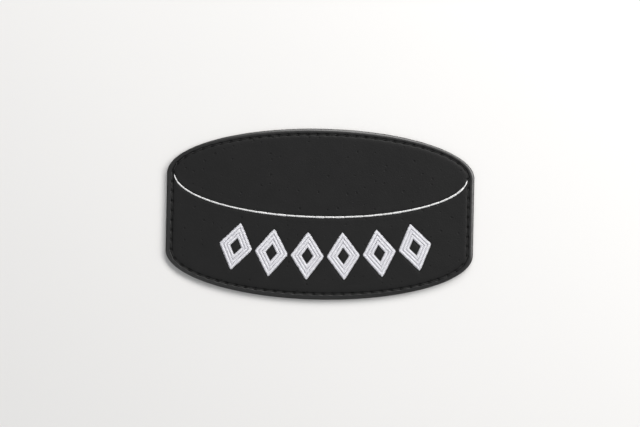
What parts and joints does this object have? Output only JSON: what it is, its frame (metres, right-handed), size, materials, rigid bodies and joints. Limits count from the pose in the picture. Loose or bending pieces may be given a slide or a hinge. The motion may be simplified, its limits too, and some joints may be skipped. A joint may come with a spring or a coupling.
{
  "type": "embroidered patch",
  "caption": "Flat black vinyl patch cut and stitched in the outline of a slanted puck, with a white stitched rim line and a row of white satin lozenges.",
  "frame": {"origin": "middle of the flat back face, where the patch rests", "axes": "+X along the width, +Y from the puck's side towards its top, +Z out of the embroidered front face"},
  "size_m": [0.098, 0.0544, 0.0024],
  "materials": {
    "black_vinyl": "PVC faux leather, fine embossed grain, low satin sheen",
    "grey_knit": "thin brushed knit backing, matte",
    "white_nonwoven": "non-woven cut-away stabilizer, matte",
    "black_thread": "twisted polyester embroidery thread, soft sheen",
    "white_thread": "twisted polyester embroidery thread, silky sheen"
  },
  "bodies": {
    "root": {"front_vinyl_skin": "black_vinyl", "front_knit_backing": "grey_knit", "stabilizer": "white_nonwoven", "back_knit_backing": "grey_knit", "back_vinyl_skin": "black_vinyl", "edge_seam_top_thread": "black_thread", "edge_seam_bobbin_thread": "black_thread", "rim_line_top_thread": "white_thread", "rim_line_bobbin_thread": "white_thread", "lozenge_1_satin": "white_thread", "lozenge_2_satin": "white_thread", "lozenge_3_satin": "white_thread", "lozenge_4_satin": "white_thread", "lozenge_5_satin": "white_thread", "lozenge_6_satin": "white_thread", "lozenge_1_underlay": "white_thread", "lozenge_2_underlay": "white_thread", "lozenge_3_underlay": "white_thread", "lozenge_4_underlay": "white_thread", "lozenge_5_underlay": "white_thread", "lozenge_6_underlay": "white_thread", "lozenge_1_bobbin": "white_thread", "lozenge_2_bobbin": "white_thread", "lozenge_3_bobbin": "white_thread", "lozenge_4_bobbin": "white_thread", "lozenge_5_bobbin": "white_thread", "lozenge_6_bobbin": "white_thread"}
  },
  "joints": []
}
